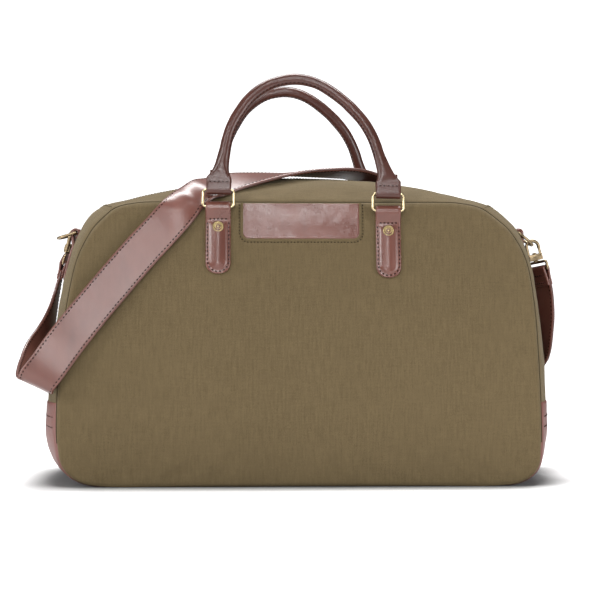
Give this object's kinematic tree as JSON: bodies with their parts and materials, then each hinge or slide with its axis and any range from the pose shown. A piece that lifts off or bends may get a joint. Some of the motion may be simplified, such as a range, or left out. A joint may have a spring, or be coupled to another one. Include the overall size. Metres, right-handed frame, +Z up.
{
  "type": "duffel bag",
  "caption": "Canvas duffel bag with domed zipped top, leather corner patches, ring-mounted rolled handles on riveted tabs, and a clip-on leather shoulder strap draped over it.",
  "frame": {"origin": "middle of the flat base, on the surface that the bag stands on", "axes": "+X along the bag to its right end, seen from the front; -Y is the front panel; +Z is up"},
  "size_m": [0.5697, 0.256, 0.4208],
  "materials": {
    "canvas": "heavy olive-khaki cotton weave, matt",
    "leather": "red-brown smooth leather with soft pinkish highlights",
    "handle_leather": "darker red-brown rolled leather, glossier",
    "brass": "pale gold, polished",
    "antique_brass": "antique brass, satin",
    "lining_cloth": "plain woven cloth",
    "board": "stiffener board, matt"
  },
  "bodies": {
    "bag": {"front_panel": "canvas", "rear_panel": "canvas", "left_gusset": "canvas", "right_gusset": "canvas", "top_gusset_front": "canvas", "top_gusset_rear": "canvas", "base_panel": "canvas", "front_left_tab": "leather", "front_left_rivet": "antique_brass", "front_left_rivet_washer": "antique_brass", "front_right_tab": "leather", "front_right_rivet": "antique_brass", "front_right_rivet_washer": "antique_brass", "zip_tape_front": "lining_cloth", "rear_left_tab": "leather", "rear_left_rivet": "antique_brass", "rear_left_rivet_washer": "antique_brass", "rear_right_tab": "leather", "rear_right_rivet": "antique_brass", "rear_right_rivet_washer": "antique_brass", "zip_tape_rear": "lining_cloth", "left_corner_patch": "leather", "left_d_tab": "leather", "left_strap_end": "leather", "left_swivel_eye": "brass", "right_corner_patch": "leather", "right_d_tab": "leather", "right_strap_end": "leather", "right_swivel_eye": "brass", "front_label_patch": "leather", "lining": "lining_cloth", "base_board": "board", "zip_chain": "antique_brass", "shoulder_strap": "leather"},
    "front_rings": {"front_left_ring": "brass", "front_right_ring": "brass"},
    "front_handle": {"front_handle_cover": "handle_leather", "front_handle_core": "lining_cloth"},
    "rear_rings": {"rear_left_ring": "brass", "rear_right_ring": "brass"},
    "rear_handle": {"rear_handle_cover": "handle_leather", "rear_handle_core": "lining_cloth"},
    "zip_slider": {"zip_slider": "brass"},
    "zip_pull": {"zip_pull": "brass"},
    "left_d_ring": {"left_d_ring": "brass"},
    "right_d_ring": {"right_d_ring": "brass"},
    "left_hook": {"left_hook": "brass"},
    "left_hook_gate": {"left_hook_gate": "brass"},
    "right_hook": {"right_hook": "brass"},
    "right_hook_gate": {"right_hook_gate": "brass"}
  },
  "joints": [
    {"name": "front_ring_swing", "type": "hinge", "parent": "bag", "child": "front_rings", "pos_m": [-0.082, -0.09029, 0.2815], "axis": [0.9997, -0.0064, -0.0232], "range_deg": [-4, 100]},
    {"name": "front_handle_swing", "type": "hinge", "parent": "front_rings", "child": "front_handle", "pos_m": [-0.08158, -0.08701, 0.29869], "axis": [0.9997, -0.0064, -0.0232], "range_deg": [-25, 75]},
    {"name": "rear_ring_swing", "type": "hinge", "parent": "bag", "child": "rear_rings", "pos_m": [-0.084, 0.09029, 0.2815], "axis": [-1, 0, 0], "range_deg": [-4, 100]},
    {"name": "rear_handle_swing", "type": "hinge", "parent": "rear_rings", "child": "rear_handle", "pos_m": [-0.084, 0.08701, 0.29869], "axis": [-1, 0, 0], "range_deg": [-25, 75]},
    {"name": "zip_travel", "type": "hinge", "parent": "bag", "child": "zip_slider", "pos_m": [0, 0, -0.3845], "axis": [0, 1, 0], "range_deg": [-23, 7.5]},
    {"name": "zip_pull_swing", "type": "hinge", "parent": "zip_slider", "child": "zip_pull", "pos_m": [0.10162, 0, 0.30878], "axis": [0, -1, 0], "range_deg": [0, 120]},
    {"name": "left_d_ring_swing", "type": "hinge", "parent": "bag", "child": "left_d_ring", "pos_m": [-0.2325, 0, 0.2574], "axis": [0, -1, 0], "range_deg": [-1.5, 8]},
    {"name": "right_d_ring_swing", "type": "hinge", "parent": "bag", "child": "right_d_ring", "pos_m": [0.23523, 0, 0.25783], "axis": [0, 1, 0], "range_deg": [-2, 8]},
    {"name": "left_hook_swivel", "type": "hinge", "parent": "bag", "child": "left_hook", "pos_m": [-0.24292, 0.01652, 0.2451], "axis": [0.2501, -0.2001, 0.9473], "range_deg": [-15, 15]},
    {"name": "left_gate", "type": "hinge", "parent": "left_hook", "child": "left_hook_gate", "pos_m": [-0.2429, 0.02303, 0.2452], "axis": [0.9669, 0, -0.2552], "range_deg": [0, 25], "stiffness_Nm_per_rad": 0.005, "springref_deg": -17.19},
    {"name": "right_hook_swivel", "type": "hinge", "parent": "bag", "child": "right_hook", "pos_m": [0.25402, 0, 0.23478], "axis": [-0.2399, 0, 0.9708], "range_deg": [-15, 15]},
    {"name": "right_gate", "type": "hinge", "parent": "right_hook", "child": "right_hook_gate", "pos_m": [0.26052, 0, 0.23515], "axis": [0, -1, 0], "range_deg": [0, 25], "stiffness_Nm_per_rad": 0.005, "springref_deg": -17.19}
  ]
}
